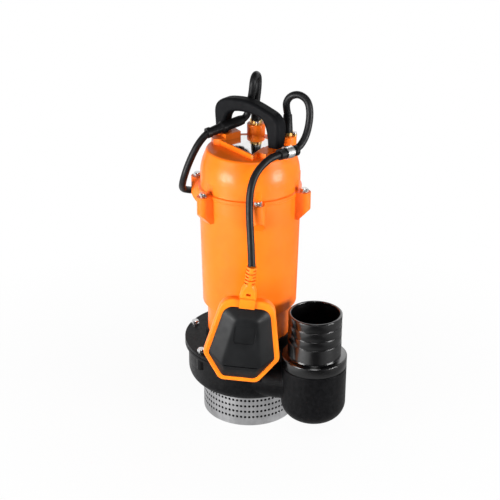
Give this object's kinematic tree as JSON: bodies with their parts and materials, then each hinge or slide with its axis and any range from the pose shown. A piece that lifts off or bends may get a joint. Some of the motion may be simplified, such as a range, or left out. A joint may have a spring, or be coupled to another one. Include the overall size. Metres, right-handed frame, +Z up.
{
  "type": "submersible sump pump",
  "caption": "Upright submersible sump pump: perforated strainer foot, volute casing with upturned hose tail, sealed motor, carrying handle, float switch on its cord and a coiled power cord.",
  "frame": {"origin": "on the motor axis, at the flat underside of the strainer that the pump stands on", "axes": "+Z up along the motor shaft, +X towards the discharge side, -Y towards the float"},
  "size_m": [0.2365, 0.387, 0.501],
  "materials": {
    "stainless": "perforated stainless sheet",
    "bright_fasteners": "zinc plated steel",
    "black_iron": "black painted cast iron",
    "black_plastic": "black moulded plastic",
    "float_black": "matt black moulded plastic",
    "orange_paint": "gloss orange paint on cast metal",
    "orange_plastic": "orange moulded plastic",
    "black_rubber": "black rubber",
    "cord_rubber": "black rubber sheath",
    "plug_plastic": "black moulded plastic",
    "brass": "machined brass",
    "polished_plate": "polished stainless plate",
    "clip_metal": "zinc plated steel strip",
    "bearing_steel": "ground steel",
    "bearing_brass": "pressed brass",
    "impeller_iron": "bare cast iron",
    "seal_ceramic": "lapped ceramic",
    "core_steel": "laminated electrical steel",
    "winding_copper": "varnished copper wire",
    "bracket_aluminium": "cast aluminium",
    "inner_plastic": "moulded plastic",
    "lever_steel": "spring steel"
  },
  "bodies": {
    "root": {"bearing_outer_rings": "bearing_steel", "capacitor": "inner_plastic", "casing_bolts": "bright_fasteners", "casing_gasket": "black_rubber", "casing_lid": "black_iron", "clamp_screws": "bright_fasteners", "coil_ties": "plug_plastic", "cover_bolts": "bright_fasteners", "float_cord_clip": "clip_metal", "float_cord_loop": "cord_rubber", "float_cord_relief": "black_rubber", "float_cord_sleeve": "black_rubber", "float_gland_plate": "brass", "handle": "black_plastic", "handle_screws": "bright_fasteners", "hose_tail": "black_plastic", "hose_tail_gasket": "black_rubber", "motor_housing": "orange_paint", "oil_plug": "bright_fasteners", "power_cord_coil": "cord_rubber", "power_cord_drop": "cord_rubber", "power_cord_end": "cord_rubber", "power_cord_hump": "cord_rubber", "power_cord_relief": "black_rubber", "power_cord_sleeve": "black_rubber", "power_gland_plate": "brass", "power_plug": "plug_plastic", "seal_chamber": "orange_paint", "seal_seat": "seal_ceramic", "seam_o_ring": "black_rubber", "spring_washers": "bright_fasteners", "stator_core": "core_steel", "stator_windings": "winding_copper", "strainer_band": "stainless", "strainer_base": "stainless", "strainer_screws": "stainless", "suction_cover": "black_iron", "terminal_block": "inner_plastic", "top_cover": "orange_paint", "top_plate": "polished_plate", "upper_bearing_bracket": "bracket_aluminium", "volute_casing": "black_iron"},
    "rotor": {"motor_shaft": "bearing_steel", "rotor_core": "core_steel", "impeller": "impeller_iron", "impeller_nut": "bearing_steel", "rotating_seal": "seal_ceramic", "seal_spring": "bearing_steel", "bearing_inner_rings": "bearing_steel"},
    "bearing_balls": {"bearing_balls": "bearing_steel", "bearing_cages": "bearing_brass"},
    "float": {"float_cord_hang": "cord_rubber", "float_frame": "orange_plastic", "float_front_cover": "float_black", "float_back_cover": "float_black", "float_boot": "orange_plastic", "float_switch": "inner_plastic", "float_ball_guide": "inner_plastic"},
    "float_ball": {"float_ball": "bearing_steel"},
    "switch_lever": {"switch_lever": "lever_steel"}
  },
  "joints": [
    {"name": "rotor_spin", "type": "hinge", "parent": "root", "child": "rotor", "pos_m": [0, 0, 0.25], "axis": [0, 0, 1], "continuous": true},
    {"name": "bearing_roll", "type": "hinge", "parent": "root", "child": "bearing_balls", "pos_m": [0, 0, 0.25], "axis": [0, 0, 1], "continuous": true},
    {"name": "float_swing", "type": "hinge", "parent": "root", "child": "float", "pos_m": [0.0384, -0.0528, 0.4137], "axis": [-1, 0, 0], "range_deg": [0, 110], "deforming": ["float_cord_hang"]},
    {"name": "float_ball_roll", "type": "slide", "parent": "float", "child": "float_ball", "axis": [0.1132, 0, 0.9936], "range_m": [0, 0.026]},
    {"name": "switch_lever_press", "type": "hinge", "parent": "float", "child": "switch_lever", "pos_m": [-0.01534, -0.12, 0.1857], "axis": [0, -1, 0], "range_deg": [0, 5], "stiffness_Nm_per_rad": 0.02, "springref_deg": -5.73}
  ],
  "couplings": [
    {"joint": "bearing_roll", "follows": "rotor_spin", "ratio": 0.38175}
  ]
}
